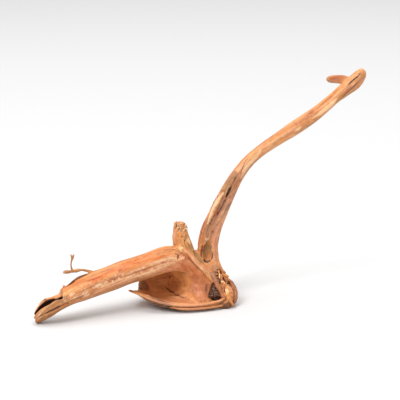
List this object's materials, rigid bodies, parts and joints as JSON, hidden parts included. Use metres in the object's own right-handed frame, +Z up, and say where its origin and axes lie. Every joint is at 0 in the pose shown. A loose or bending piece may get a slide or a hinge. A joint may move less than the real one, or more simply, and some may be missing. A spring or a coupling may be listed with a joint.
{
  "type": "dry root",
  "caption": "Dry root that stands on a leg and a hollow scoop, with a short broken knob and a long curved neck that ends in a hook.",
  "frame": {"origin": "on the surface that the root stands on, under the middle of its length and depth", "axes": "+X from the leg's broken tip towards the neck's hooked tip, +Y away from the scoop's open side, +Z up"},
  "size_m": [0.3442, 0.1348, 0.2481],
  "materials": {
    "dry_root_wood": "bare, barked, sun-dried wood with long grain, satin on worn ridges",
    "dried_earth": "crumbly dried earth with fine grit, matt"
  },
  "bodies": {
    "root": {"root_wood": "dry_root_wood", "packed_earth": "dried_earth"}
  },
  "joints": []
}
